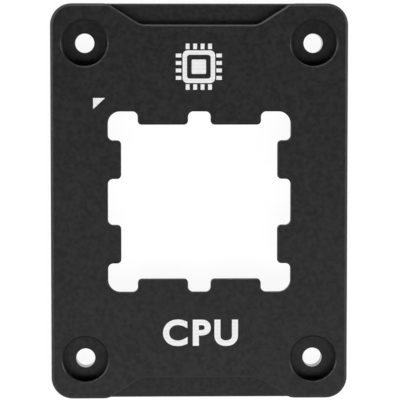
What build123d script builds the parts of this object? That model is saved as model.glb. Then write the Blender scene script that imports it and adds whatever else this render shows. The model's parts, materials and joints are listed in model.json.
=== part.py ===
from build123d import *
import os

# Retention frame that clamps a processor into its socket on a circuit board.
#
# The whole object is one plate, milled from a solid block of aluminium. It lies flat:
# +Z points up at the cooler, Z = 0 is the underside that sits on the board, +Y runs along
# the frame's length and X across it. The origin is the middle of the window, on the underside.
#
# The frame is laid out from the window outwards. The window stands over the processor, and
# its rim has two clamping tabs on each side. From below, a shallow seat takes the processor
# and a deeper pocket the body of its socket, so that only a thin skin with the tabs reaches
# over the processor. The screws stand beyond the ends of the pocket, each with a seat sunk
# for its head, and the plate's edges stand outside them. A low step is milled into the
# middle of each end. All sizes are in millimetres.

plate_height = 6.0
plate_corner_radius = 3.9

# Window over the processor, and the tabs on its rim
window_width = 33.2
window_length = 32.9
window_corner_radius = 2.2
tab_reach = 2.4
tab_corner_radius = 0.75
notch_root_radius = 0.95
corner_notch_x = 5.4
corner_notch_y = 5.25
middle_notch_x = 4.1
middle_notch_y = 8.4

# Seat for the processor, reaching out under the skin from the window's edges
skin_thickness = 1.2
seat_depth = 1.2
seat_reach_x = 3.7
seat_reach_y = 3.85
seat_corner_radius = 1.0

# Pocket for the socket's body, a ledge wider than the seat, and the wall beside it
pocket_ledge_x = 2.7
pocket_ledge_y = 3.1
pocket_corner_radius = 2.0
pocket_side_wall = 4.0

# Screws, and the walls that a head seat leaves to the pocket and to the plate's edges
screw_bore_diameter = 3.5
head_seat_diameter = 8.2
head_seat_depth = 2.5
head_seat_inner_wall = 1.3
head_seat_side_wall = 2.1
head_seat_end_wall = 3.1

# Low step in the middle of each end, flared from its floor out to the plate's end
step_depth = 2.0
step_reach = 3.85
step_land = 10.3
step_flare = 6.1
step_corner_radius = 3.0

# Broken edges
top_break = 0.5
step_break = 0.3
step_end_break = 0.3
head_seat_break = 0.3
window_break = 0.15
underside_break = 0.3

# Sizes that follow from those above
seat_width = window_width + 2 * seat_reach_x
seat_length = window_length + 2 * seat_reach_y
seat_top_z = plate_height - skin_thickness
pocket_width = seat_width + 2 * pocket_ledge_x
pocket_length = seat_length + 2 * pocket_ledge_y
pocket_top_z = seat_top_z - seat_depth
plate_width = pocket_width + 2 * pocket_side_wall
screw_pitch_x = plate_width - 2 * head_seat_side_wall - head_seat_diameter
screw_pitch_y = pocket_length + 2 * head_seat_inner_wall + head_seat_diameter
plate_length = screw_pitch_y + head_seat_diameter + 2 * head_seat_end_wall
step_end_width = plate_width - 2 * step_land
step_floor_width = step_end_width - 2 * step_flare
step_floor_z = plate_height - step_depth

# A cutter runs this far past a face that it opens
overrun = 0.5


def block():
    """Plate before milling, with round corners and its upper and lower edges broken."""
    plate = extrude(RectangleRounded(plate_width, plate_length, plate_corner_radius), plate_height)
    plate = chamfer(plate.faces().sort_by(Axis.Z)[-1].edges(), top_break)
    return chamfer(plate.faces().sort_by(Axis.Z)[0].edges(), underside_break)


def window_outline():
    """Opening over the processor, with a middle notch and two clamping tabs on each side."""
    edge_x = window_width / 2
    edge_y = window_length / 2
    tip_x = edge_x - tab_reach
    tip_y = edge_y - tab_reach
    quarter = FilletPolyline(
        (0, edge_y),
        (middle_notch_x / 2, edge_y),
        (middle_notch_x / 2, tip_y),
        (edge_x - corner_notch_x, tip_y),
        (edge_x - corner_notch_x, edge_y),
        (edge_x, edge_y),
        (edge_x, edge_y - corner_notch_y),
        (tip_x, edge_y - corner_notch_y),
        (tip_x, middle_notch_y / 2),
        (edge_x, middle_notch_y / 2),
        (edge_x, 0),
        radius=[
            notch_root_radius,
            tab_corner_radius,
            tab_corner_radius,
            notch_root_radius,
            window_corner_radius,
            notch_root_radius,
            tab_corner_radius,
            tab_corner_radius,
            notch_root_radius,
        ],
    )
    half = quarter + mirror(quarter, about=Plane.YZ)
    return make_face(half + mirror(half, about=Plane.XZ))


def screw_hole_cutter():
    """Cutter for one screw's bore, with the flat seat sunk round it for the screw's head."""
    bore = extrude(Circle(screw_bore_diameter / 2), plate_height)
    head_seat = extrude(Circle(head_seat_diameter / 2), head_seat_depth)
    return bore + Pos(Z=plate_height - head_seat_depth) * head_seat


def end_step_cutter():
    """Cutter for the step at the +Y end. It also breaks the step's upper edge and its end."""
    end_y = plate_length / 2
    half = FilletPolyline(
        (0, end_y - step_reach),
        (step_floor_width / 2, end_y - step_reach),
        (step_end_width / 2, end_y),
        (plate_width / 2, end_y),
        (plate_width / 2, end_y + overrun),
        (0, end_y + overrun),
        radius=[step_corner_radius, step_corner_radius, 0, 0],
    )
    outline = make_face(half + mirror(half, about=Plane.YZ))

    base_z = step_floor_z - step_end_break
    cutter = Pos(Z=base_z) * extrude(outline, plate_height - base_z + overrun)
    brim = extrude(outline, step_break + overrun, taper=-45)
    cutter += Pos(Z=plate_height - step_break) * brim

    floor_profile = Polygon(
        (0, 0),
        (end_y + overrun, 0),
        (end_y + overrun, base_z - overrun),
        (end_y - step_end_break, step_floor_z),
        (0, step_floor_z),
        align=None,
    )
    return cutter - extrude(Plane.YZ * floor_profile, plate_width, both=True)


def retention_frame():
    """The finished plate: the block with everything milled out and the rims broken."""
    frame = block()
    frame -= end_step_cutter()
    frame -= mirror(end_step_cutter(), about=Plane.XZ)
    frame -= extrude(window_outline(), plate_height)
    frame -= extrude(RectangleRounded(seat_width, seat_length, seat_corner_radius), seat_top_z)
    frame -= extrude(RectangleRounded(pocket_width, pocket_length, pocket_corner_radius), pocket_top_z)
    frame -= GridLocations(screw_pitch_x, screw_pitch_y, 2, 2) * screw_hole_cutter()

    upper_rims = frame.faces().sort_by(Axis.Z)[-1].inner_wires().sort_by(SortBy.LENGTH)
    frame = chamfer(upper_rims[-1].edges(), window_break)
    upper_rims = frame.faces().sort_by(Axis.Z)[-1].inner_wires().sort_by(SortBy.LENGTH)
    frame = chamfer([rim.edge() for rim in upper_rims[:-1]], head_seat_break)
    lower_rims = frame.faces().sort_by(Axis.Z)[0].inner_wires()
    return chamfer([edge for rim in lower_rims for edge in rim.edges()], underside_break)


os.makedirs("parts", exist_ok=True)
frame = retention_frame()
export_step(frame, "parts/retention_frame.step")
print(f"plate {plate_width:.2f} x {plate_length:.2f} x {plate_height:.2f}")
print(f"screw pattern {screw_pitch_x:.2f} x {screw_pitch_y:.2f}")
print(f"volume {frame.volume:.1f}, valid {frame.is_valid}")
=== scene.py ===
import json
import math

import bmesh
import bpy
from mathutils import Matrix, Vector


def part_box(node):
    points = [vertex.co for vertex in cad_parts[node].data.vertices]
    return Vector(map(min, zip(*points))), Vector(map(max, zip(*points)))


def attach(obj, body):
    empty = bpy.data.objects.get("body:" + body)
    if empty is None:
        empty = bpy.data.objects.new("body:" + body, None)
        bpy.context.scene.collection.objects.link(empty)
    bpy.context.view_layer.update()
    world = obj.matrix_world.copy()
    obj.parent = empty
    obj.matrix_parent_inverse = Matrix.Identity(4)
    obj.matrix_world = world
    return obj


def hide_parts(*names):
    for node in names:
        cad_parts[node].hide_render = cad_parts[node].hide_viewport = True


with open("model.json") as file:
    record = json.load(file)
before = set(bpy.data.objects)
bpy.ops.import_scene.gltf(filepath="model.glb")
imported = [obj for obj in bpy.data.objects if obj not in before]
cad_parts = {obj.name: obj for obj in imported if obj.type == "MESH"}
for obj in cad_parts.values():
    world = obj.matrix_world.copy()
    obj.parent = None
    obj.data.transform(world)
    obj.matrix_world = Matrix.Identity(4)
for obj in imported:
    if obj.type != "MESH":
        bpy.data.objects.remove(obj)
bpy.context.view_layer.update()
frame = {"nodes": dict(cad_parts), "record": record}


# Retention plate. It is milled from one block of aluminium and blasted with glass beads. Then its
# bores are reamed, the rims of its openings and steps are cut, and all of it is anodised black.
# Here the CAD solid becomes one skin with those three finishes and a tiny round on every edge.

mm = 0.001
plate_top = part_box("retention_frame")[1].z
screws = next(m["dims"] for m in frame["record"]["mounts"] if m["name"] == "board_screws")
screw_place = Vector((screws["spacing_x_mm"], screws["spacing_y_mm"])) / 2 * mm
bore_radius = screws["hole_r_mm"] * mm

edge_round = 0.05 * mm
edge_round_steps = 2
sharp_edge_angle = math.radians(30)
flat_angle = math.radians(0.5)
merge_distance = 0.001 * mm
flat_face_weight = 100

# A rim that is cut after blasting lies in the plate's uppermost layer and has this slope, as
# the upward part of its normal. A bore's faces lie within the margin of its wall.
cut_rim_height = 0.32 * mm
cut_rim_slope = (0.6, 0.8)
bore_margin = 0.35 * mm

dyed_film_colour = "1A1A1A"
cloudy_film_colour = "1E1E1E"
film_cloud_width = 9 * mm
oxide_film_ior = 1.5
blasted_roughness = 0.5
blasted_specular = 0.25
cut_roughness = 0.36
cut_specular = 0.21
reamed_roughness = 0.15
reamed_specular = 0.6

# Craters of the beads are about 0.1 mm wide. They are drawn wider, so that they show.
bead_crater_width = 0.8 * mm
bead_crater_depth = 0.03 * mm
# Noise range, then painted shade in a crater's floor and painted highlight on its rim
crater_noise_range = (0.36, 0.64)
crater_floor_painted_shade = 0.6
crater_rim_painted_highlight = 1.4

# Places of the colour sockets on a Mix node
mix_colour_a = 6
mix_colour_b = 7
mixed_colour = 2


def linear(hex_colour):
    """Linear colour of an sRGB hex value, with an alpha of 1."""
    parts = [int(hex_colour[i : i + 2], 16) / 255 for i in (0, 2, 4)]
    return [c / 12.92 if c <= 0.04045 else ((c + 0.055) / 1.055) ** 2.4 for c in parts] + [1.0]


def add_node(tree, kind, inputs, **settings):
    """Adds a node of that kind. An input is linked if it is given a socket, and set otherwise."""
    node = tree.nodes.new(kind)
    for name, value in settings.items():
        setattr(node, name, value)
    for name, value in inputs.items():
        if isinstance(value, bpy.types.NodeSocket):
            tree.links.new(value, node.inputs[name])
        else:
            node.inputs[name].default_value = value
    return node


def new_material(name):
    """A material with an empty node tree."""
    material = bpy.data.materials.new(name)
    material.use_nodes = True
    material.node_tree.nodes.clear()
    return material, material.node_tree


def film_colour(tree, place):
    """Colour of the dyed oxide film, which takes the dye a little unevenly."""
    clouds = add_node(tree, "ShaderNodeTexNoise", {"Vector": place, "Scale": 1 / film_cloud_width})
    tone = add_node(
        tree,
        "ShaderNodeMix",
        {
            "Factor": clouds.outputs["Fac"],
            mix_colour_a: linear(dyed_film_colour),
            mix_colour_b: linear(cloudy_film_colour),
        },
        data_type="RGBA",
    )
    return tone.outputs[mixed_colour]


def blasted_black_anodising():
    """Black anodising on bead-blasted aluminium: matt, evenly pitted and faintly clouded, with
    painted shade in the craters' floors and painted highlight on their rims.
    """
    material, tree = new_material("blasted_black_anodising")
    place = add_node(tree, "ShaderNodeTexCoord", {}).outputs["Object"]
    craters = add_node(
        tree, "ShaderNodeTexNoise", {"Vector": place, "Scale": 1 / bead_crater_width}
    )
    # Painted shade in the craters' floors and painted highlight on their rims
    painted_crater_shading = add_node(
        tree,
        "ShaderNodeMapRange",
        {
            "Value": craters.outputs["Fac"],
            "From Min": crater_noise_range[0],
            "From Max": crater_noise_range[1],
            "To Min": crater_floor_painted_shade,
            "To Max": crater_rim_painted_highlight,
        },
    )
    film_with_painted_crater_shade = add_node(
        tree,
        "ShaderNodeVectorMath",
        {0: film_colour(tree, place), "Scale": painted_crater_shading.outputs["Result"]},
        operation="SCALE",
    )
    bump = add_node(
        tree, "ShaderNodeBump", {"Height": craters.outputs["Fac"], "Distance": bead_crater_depth}
    )
    shader = add_node(
        tree,
        "ShaderNodeBsdfPrincipled",
        {
            "Base Color": film_with_painted_crater_shade.outputs["Vector"],
            "Roughness": blasted_roughness,
            "IOR": oxide_film_ior,
            "Specular IOR Level": blasted_specular,
            "Normal": bump.outputs["Normal"],
        },
    )
    add_node(tree, "ShaderNodeOutputMaterial", {"Surface": shader.outputs["BSDF"]})
    return material


def machined_black_anodising(name, roughness, specular):
    """Black anodising on aluminium that a tool left smooth: glossier than the blasted faces."""
    material, tree = new_material(name)
    place = add_node(tree, "ShaderNodeTexCoord", {}).outputs["Object"]
    shader = add_node(
        tree,
        "ShaderNodeBsdfPrincipled",
        {
            "Base Color": film_colour(tree, place),
            "Roughness": roughness,
            "IOR": oxide_film_ior,
            "Specular IOR Level": specular,
        },
    )
    add_node(tree, "ShaderNodeOutputMaterial", {"Surface": shader.outputs["BSDF"]})
    return material


def add_object(name, data):
    """Adds a mesh, curve, lamp or camera to the scene, as an object at the origin."""
    thing = bpy.data.objects.new(name, data)
    bpy.context.scene.collection.objects.link(thing)
    return thing


def finished(name, source):
    """What an object evaluates to, as a plain mesh at the origin. The source is removed."""
    bpy.context.view_layer.update()
    seen = source.evaluated_get(bpy.context.evaluated_depsgraph_get())
    mesh = bpy.data.meshes.new_from_object(seen)
    mesh.name = name
    bpy.data.objects.remove(source)
    return add_object(name, mesh)


def finish_of(face):
    """Place of a face's finish in the list of the plate's finishes."""
    centre = face.calc_center_median()
    off_axis = math.hypot(abs(centre.x) - screw_place.x, abs(centre.y) - screw_place.y)
    if off_axis < bore_radius + bore_margin and abs(face.normal.z) < cut_rim_slope[1]:
        return finish_names.index("reamed")
    slopes = cut_rim_slope[0] < face.normal.z < cut_rim_slope[1]
    if slopes and min(corner.co.z for corner in face.verts) > plate_top - cut_rim_height:
        return finish_names.index("cut")
    return finish_names.index("blasted")


def plate_skin():
    """The CAD node's mesh as one closed skin with whole flat faces, and its finishes told apart."""
    skin = bmesh.new()
    skin.from_mesh(frame["nodes"]["retention_frame"].data)
    bmesh.ops.remove_doubles(skin, verts=skin.verts, dist=merge_distance)
    bmesh.ops.dissolve_limit(skin, angle_limit=flat_angle, verts=skin.verts, edges=skin.edges)
    for face in skin.faces:
        face.smooth = True
        face.material_index = finish_of(face)
    mesh = bpy.data.meshes.new("plate_skin")
    skin.to_mesh(mesh)
    skin.free()
    return mesh


def milled_plate():
    """The plate with its finishes, and with a tiny round on each edge."""
    blank = add_object("plate_blank", plate_skin())
    rounds = blank.modifiers.new("edge_rounds", "BEVEL")
    rounds.width = edge_round
    rounds.segments = edge_round_steps
    rounds.limit_method = "ANGLE"
    rounds.angle_limit = sharp_edge_angle
    shading = blank.modifiers.new("shading", "WEIGHTED_NORMAL")
    shading.weight = flat_face_weight
    for finish in finishes.values():
        blank.data.materials.append(finish)
    return finished("milled_plate", blank)


finishes = {
    "blasted": blasted_black_anodising(),
    "cut": machined_black_anodising("cut_black_anodising", cut_roughness, cut_specular),
    "reamed": machined_black_anodising("reamed_black_anodising", reamed_roughness, reamed_specular),
}
finish_names = list(finishes)
plate = milled_plate()
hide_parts("retention_frame")
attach(plate, "root")


# Index mark. A small solid triangle near the window's upper left corner shows which way round
# the plate goes on. A laser bleaches the dye out of the anodising there, line by line, so the
# mark is a matt near-white without thickness. Here it is a very thin film.

film_thickness = 0.012 * mm
film_proud = 0.006 * mm
mark_colour = "F2F2F2"
mark_scan_colour = "E4E4E4"
mark_roughness = 0.7

# Laser lines are about 0.05 mm apart. They are drawn wider, so that they show. A Wave texture
# turns through 20 radians for each unit of its scaled place.
laser_line_pitch = 0.7 * mm
laser_speckle_width = 0.35 * mm
wave_radians = 20

index_corner = Vector((-19.25, 18.9)) * mm
index_width = 2.15 * mm
index_height = 2.0 * mm


def laser_bleached_mark():
    """Anodising bleached by a laser: matt near-white, with faint scan lines."""
    material, tree = new_material("laser_bleached_mark")
    place = add_node(tree, "ShaderNodeTexCoord", {}).outputs["Object"]
    lines = add_node(
        tree,
        "ShaderNodeTexWave",
        {"Vector": place, "Scale": math.tau / wave_radians / laser_line_pitch},
        bands_direction="Y",
    )
    speckle = add_node(
        tree, "ShaderNodeTexNoise", {"Vector": place, "Scale": 1 / laser_speckle_width}
    )
    uneven = add_node(
        tree,
        "ShaderNodeMath",
        {0: lines.outputs["Fac"], 1: speckle.outputs["Fac"]},
        operation="MULTIPLY",
    )
    tone = add_node(
        tree,
        "ShaderNodeMix",
        {
            "Factor": uneven.outputs[0],
            mix_colour_a: linear(mark_colour),
            mix_colour_b: linear(mark_scan_colour),
        },
        data_type="RGBA",
    )
    shader = add_node(
        tree,
        "ShaderNodeBsdfPrincipled",
        {"Base Color": tone.outputs[mixed_colour], "Roughness": mark_roughness},
    )
    add_node(tree, "ShaderNodeOutputMaterial", {"Surface": shader.outputs["BSDF"]})
    return material


def film_from_curve(name, curve):
    """A filled curve as a closed film that lies in the plate's upper face, just proud of it."""
    curve.dimensions = "2D"
    curve.fill_mode = "BOTH"
    curve.extrude = film_thickness / 2
    film = finished(name, add_object(name + "_curve", curve))
    film.data.transform(Matrix.Translation((0, 0, film_middle)))
    skin = bmesh.new()
    skin.from_mesh(film.data)
    bmesh.ops.remove_doubles(skin, verts=skin.verts, dist=merge_distance)
    bmesh.ops.recalc_face_normals(skin, faces=skin.faces)
    skin.to_mesh(film.data)
    skin.free()
    film.data.materials.clear()
    film.data.materials.append(bleached)
    return film


def outlined(name, loops):
    """A curve with those closed loops. A loop inside another is a hole."""
    curve = bpy.data.curves.new(name, "CURVE")
    for loop in loops:
        spline = curve.splines.new("POLY")
        spline.points.add(len(loop) - 1)
        for point, (x, y) in zip(spline.points, loop):
            point.co = (x, y, 0, 1)
        spline.use_cyclic_u = True
    return curve


def dress_mark(film):
    """Fixes a mark to the plate."""
    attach(film, "root")


film_middle = plate_top + film_proud - film_thickness / 2
bleached = laser_bleached_mark()
index_loop = [
    index_corner,
    index_corner + Vector((index_width, 0)),
    index_corner - Vector((0, index_height)),
]
dress_mark(film_from_curve("index_mark", outlined("index_outline", [index_loop])))


# Chip pictogram. A plain sign for a processor, bleached into the middle of the upper end in the
# same way: a rounded square ring round a small square, with short pins along all four sides.

chip_centre = Vector((-0.1, 24.55)) * mm
chip_ring_outer = 5.9 * mm
chip_ring_inner = 4.3 * mm
chip_ring_outer_corner = 0.9 * mm
chip_ring_inner_corner = 0.5 * mm
chip_core = 2.6 * mm
chip_core_corner = 0.2 * mm
chip_pin_width = 0.7 * mm
chip_pin_length = 1.0 * mm
chip_pin_gap = 0.22 * mm
chip_pin_pitch = 1.35 * mm
chip_pins_per_side = 4
chip_sides = 4
corner_steps = 6


def rounded_square(side, corner):
    """Loop of points of a square with round corners about the chip's centre."""
    reach = side / 2 - corner
    loop = []
    for quarter in range(chip_sides):
        turn = Matrix.Rotation(quarter * math.pi / 2, 2)
        for step in range(corner_steps + 1):
            angle = step / corner_steps * math.pi / 2
            spot = Vector((reach + corner * math.cos(angle), reach + corner * math.sin(angle)))
            loop.append(chip_centre + turn @ spot)
    return loop


def pin_rows_tree():
    """Geometry Nodes tree: a row of pins on each side, turned about the chip's centre."""
    tree = bpy.data.node_groups.new("pin_rows", "GeometryNodeTree")
    for name, kind in (
        ("Sides", "NodeSocketInt"),
        ("Pins per side", "NodeSocketInt"),
        ("Pitch", "NodeSocketFloat"),
        ("Pin size", "NodeSocketVector"),
        ("Row distance", "NodeSocketFloat"),
        ("Centre", "NodeSocketVector"),
        ("Material", "NodeSocketMaterial"),
    ):
        tree.interface.new_socket(name, in_out="INPUT", socket_type=kind)
    tree.interface.new_socket("Geometry", in_out="OUTPUT", socket_type="NodeSocketGeometry")
    given = add_node(tree, "NodeGroupInput", {}).outputs
    gaps = add_node(
        tree, "ShaderNodeMath", {0: given["Pins per side"], 1: 1.0}, operation="SUBTRACT"
    )
    row_length = add_node(
        tree, "ShaderNodeMath", {0: gaps.outputs[0], 1: given["Pitch"]}, operation="MULTIPLY"
    )
    start_x = add_node(
        tree, "ShaderNodeMath", {0: row_length.outputs[0], 1: -0.5}, operation="MULTIPLY"
    )
    start = add_node(
        tree, "ShaderNodeCombineXYZ", {"X": start_x.outputs[0], "Y": given["Row distance"]}
    )
    step = add_node(tree, "ShaderNodeCombineXYZ", {"X": given["Pitch"]})
    row = add_node(
        tree,
        "GeometryNodeMeshLine",
        {
            "Count": given["Pins per side"],
            "Start Location": start.outputs[0],
            "Offset": step.outputs[0],
        },
        mode="OFFSET",
    )
    pin = add_node(tree, "GeometryNodeMeshCube", {"Size": given["Pin size"]})
    pins = add_node(
        tree,
        "GeometryNodeInstanceOnPoints",
        {"Points": row.outputs["Mesh"], "Instance": pin.outputs["Mesh"]},
    )
    sides = add_node(
        tree, "GeometryNodePoints", {"Count": given["Sides"], "Position": given["Centre"]}
    )
    index = add_node(tree, "GeometryNodeInputIndex", {})
    turns = add_node(
        tree, "ShaderNodeMath", {0: index.outputs[0], 1: math.tau}, operation="MULTIPLY"
    )
    angle = add_node(
        tree, "ShaderNodeMath", {0: turns.outputs[0], 1: given["Sides"]}, operation="DIVIDE"
    )
    facing = add_node(tree, "ShaderNodeCombineXYZ", {"Z": angle.outputs[0]})
    rows = add_node(
        tree,
        "GeometryNodeInstanceOnPoints",
        {
            "Points": sides.outputs["Points"],
            "Instance": pins.outputs["Instances"],
            "Rotation": facing.outputs[0],
        },
    )
    real = add_node(tree, "GeometryNodeRealizeInstances", {"Geometry": rows.outputs["Instances"]})
    dressed = add_node(
        tree,
        "GeometryNodeSetMaterial",
        {"Geometry": real.outputs["Geometry"], "Material": given["Material"]},
    )
    add_node(tree, "NodeGroupOutput", {"Geometry": dressed.outputs["Geometry"]})
    return tree


def grown(name, tree, values):
    """What a Geometry Nodes tree makes from named values, as a plain mesh at the origin."""
    seed = add_object(name + "_seed", bpy.data.meshes.new(name + "_seed"))
    modifier = seed.modifiers.new("grow", "NODES")
    modifier.node_group = tree
    for item in tree.interface.items_tree:
        if item.in_out == "INPUT":
            modifier[item.identifier] = values[item.name]
    return finished(name, seed)


chip_loops = [
    rounded_square(chip_ring_outer, chip_ring_outer_corner),
    rounded_square(chip_ring_inner, chip_ring_inner_corner),
    rounded_square(chip_core, chip_core_corner),
]
dress_mark(film_from_curve("chip_mark", outlined("chip_outline", chip_loops)))
pin_values = {
    "Sides": chip_sides,
    "Pins per side": chip_pins_per_side,
    "Pitch": chip_pin_pitch,
    "Pin size": (chip_pin_width, chip_pin_length, film_thickness),
    "Row distance": chip_ring_outer / 2 + chip_pin_gap + chip_pin_length / 2,
    "Centre": (*chip_centre, film_middle),
    "Material": bleached,
}
dress_mark(grown("chip_pins", pin_rows_tree(), pin_values))


# Lettering. The plain word for what the plate holds, bleached into the middle of the lower end
# in heavy upright capitals, in the same way as the other marks.

word = "CPU"
word_centre = Vector((0.2, -23.9)) * mm
word_width = 13.7 * mm
word_height = 4.9 * mm
letter_curve_steps = 6

# Boldness is a share of the typeface's size, and spacing a share of its own spacing.
word_boldness = 0.035
word_spacing = 1.2


def word_curve():
    """The word in heavy capitals, as a curve of the built-in typeface."""
    curve = bpy.data.curves.new("word_curve", "FONT")
    curve.body = word
    curve.offset = word_boldness
    curve.resolution_u = letter_curve_steps
    curve.space_character = word_spacing
    return curve


def fit_flat(mesh, centre, width, height):
    """Stretches a level mesh to that width and height and centres it there."""
    xs = [vertex.co.x for vertex in mesh.vertices]
    ys = [vertex.co.y for vertex in mesh.vertices]
    middle = Vector(((min(xs) + max(xs)) / 2, (min(ys) + max(ys)) / 2, 0))
    stretch = Matrix.Diagonal((width / (max(xs) - min(xs)), height / (max(ys) - min(ys)), 1, 1))
    mesh.transform(Matrix.Translation((*centre, 0)) @ stretch @ Matrix.Translation(-middle))


lettering = film_from_curve("word_mark", word_curve())
fit_flat(lettering.data, word_centre, word_width, word_height)
dress_mark(lettering)


# Floor. A white table under the part, which glows white for the camera and in reflections, and
# still takes a little shadow from the part.

white = "FFFFFF"
floor_colour = "F4F4F4"
floor_size = 6000 * mm
floor_drop = 0.02 * mm
floor_glow_share = 0.88
floor_glow = 1.06


def white_table():
    """Plain matt white surface that the camera and reflections see as pure white."""
    material, tree = new_material("white_table")
    ray = add_node(tree, "ShaderNodeLightPath", {}).outputs
    seen = add_node(
        tree,
        "ShaderNodeMath",
        {0: ray["Is Camera Ray"], 1: ray["Is Glossy Ray"]},
        operation="MAXIMUM",
    )
    seen_or_through = add_node(
        tree,
        "ShaderNodeMath",
        {0: seen.outputs[0], 1: ray["Is Transmission Ray"]},
        operation="MAXIMUM",
    )
    share = add_node(
        tree,
        "ShaderNodeMath",
        {0: seen_or_through.outputs[0], 1: floor_glow_share},
        operation="MULTIPLY",
    )
    matt = add_node(tree, "ShaderNodeBsdfDiffuse", {"Color": linear(floor_colour)})
    glow = add_node(tree, "ShaderNodeEmission", {"Color": linear(white), "Strength": floor_glow})
    both = add_node(
        tree, "ShaderNodeMixShader", {0: share.outputs[0], 1: matt.outputs[0], 2: glow.outputs[0]}
    )
    add_node(tree, "ShaderNodeOutputMaterial", {"Surface": both.outputs[0]})
    return material


def level_square(name, side, height):
    """A level square centred on the origin at that height."""
    reach = side / 2
    mesh = bpy.data.meshes.new(name)
    corners = [(x * reach, y * reach, height) for x, y in ((-1, -1), (1, -1), (1, 1), (-1, 1))]
    mesh.from_pydata(corners, [], [range(len(corners))])
    return add_object(name, mesh)


floor = level_square("floor", floor_size, -floor_drop)
floor.data.materials.append(white_table())


# Light. A wide soft box hangs above the near side of the plate, which is the lower edge of the
# picture, and two small ones stand low on its right and left. The room is pale at its horizon
# and dim overhead, and has a long low window beyond the plate's far end.

lamp_distance = 900 * mm

# Brightness of the room, and the parts of its height, as the sine of the angle above the horizon
horizon_light = 1.0
overhead_light = 0.06
horizon_top = (0.08, 0.22)
window_light = 12.5
window_top = (0.06, 0.18)

# Direction of the window's middle. The window fades out as a direction turns away from it.
window_bearing = (-0.42, 0.91, 0.0)
window_fade = (0.15, 1.0)


def aim(thing, place, target):
    """Places an object and turns its -Z axis to the target, with world +Y upright in its view."""
    back = (place - target).normalized()
    across = Vector((0, 1, 0)).cross(back).normalized()
    turn = Matrix((across, back.cross(across), back)).transposed()
    thing.matrix_world = Matrix.Translation(place) @ turn.to_4x4()


def soft_box(name, width, height, azimuth, elevation, power):
    """An area lamp that looks at the part. Azimuth turns from +X to +Y.

    Sizes are in metres, angles in degrees and power in watts.
    """
    light = bpy.data.lights.new(name, "AREA")
    light.shape = "RECTANGLE"
    light.size = width
    light.size_y = height
    light.energy = power
    lamp = add_object(name, light)
    turn, rise = math.radians(azimuth), math.radians(elevation)
    level = math.cos(rise)
    direction = Vector((math.cos(turn) * level, math.sin(turn) * level, math.sin(rise)))
    aim(lamp, lamp_distance * direction, Vector((0, 0, 0)))
    lamp.visible_camera = False


def pale_room():
    """World that is white at the horizon and dim overhead, with a bright low window on one side."""
    world = bpy.data.worlds.new("pale_room")
    world.use_nodes = True
    room = world.node_tree
    room.nodes.clear()
    direction = add_node(room, "ShaderNodeTexCoord", {}).outputs["Generated"]
    height = add_node(room, "ShaderNodeSeparateXYZ", {"Vector": direction}).outputs["Z"]
    wall = add_node(
        room,
        "ShaderNodeMapRange",
        {
            "Value": height,
            "From Min": horizon_top[0],
            "From Max": horizon_top[1],
            "To Min": horizon_light,
            "To Max": overhead_light,
        },
        interpolation_type="SMOOTHSTEP",
    )
    band = add_node(
        room,
        "ShaderNodeMapRange",
        {
            "Value": height,
            "From Min": window_top[0],
            "From Max": window_top[1],
            "To Min": window_light,
            "To Max": 0.0,
        },
        interpolation_type="SMOOTHSTEP",
    )
    bearing = add_node(
        room, "ShaderNodeVectorMath", {0: direction, 1: window_bearing}, operation="DOT_PRODUCT"
    )
    share = add_node(
        room,
        "ShaderNodeMapRange",
        {
            "Value": bearing.outputs["Value"],
            "From Min": window_fade[0],
            "From Max": window_fade[1],
        },
        interpolation_type="SMOOTHSTEP",
    )
    strength = add_node(
        room,
        "ShaderNodeMath",
        {0: band.outputs["Result"], 1: share.outputs["Result"], 2: wall.outputs["Result"]},
        operation="MULTIPLY_ADD",
    )
    glow = add_node(
        room, "ShaderNodeBackground", {"Color": linear(white), "Strength": strength.outputs[0]}
    )
    add_node(room, "ShaderNodeOutputWorld", {"Surface": glow.outputs["Background"]})
    return world


soft_box("near_box", width=2.4, height=0.4, azimuth=-78, elevation=62, power=10.9)
soft_box("right_box", width=0.5, height=0.4, azimuth=10, elevation=15, power=4.2)
soft_box("left_box", width=0.5, height=0.4, azimuth=174, elevation=15, power=2.6)
bpy.context.scene.world = pale_room()


# Camera. It looks down on the plate from nearly straight above, a little from its upper left,
# through a long lens that just takes in the whole plate.

camera_place = Vector((-10.0, 26.0, 396.0)) * mm
camera_target = Vector((0.11, 0.37, 6.0)) * mm
camera_clip = (0.01, 20.0)

# Focal length and sensor width, which a camera takes in millimetres
camera_lens = 193.6
camera_sensor = 36.0

camera = add_object("camera", bpy.data.cameras.new("camera"))
camera.data.sensor_width = camera_sensor
camera.data.lens = camera_lens
camera.data.clip_start, camera.data.clip_end = camera_clip
aim(camera, camera_place, camera_target)
bpy.context.scene.camera = camera
bpy.context.scene.view_settings.view_transform = "Standard"
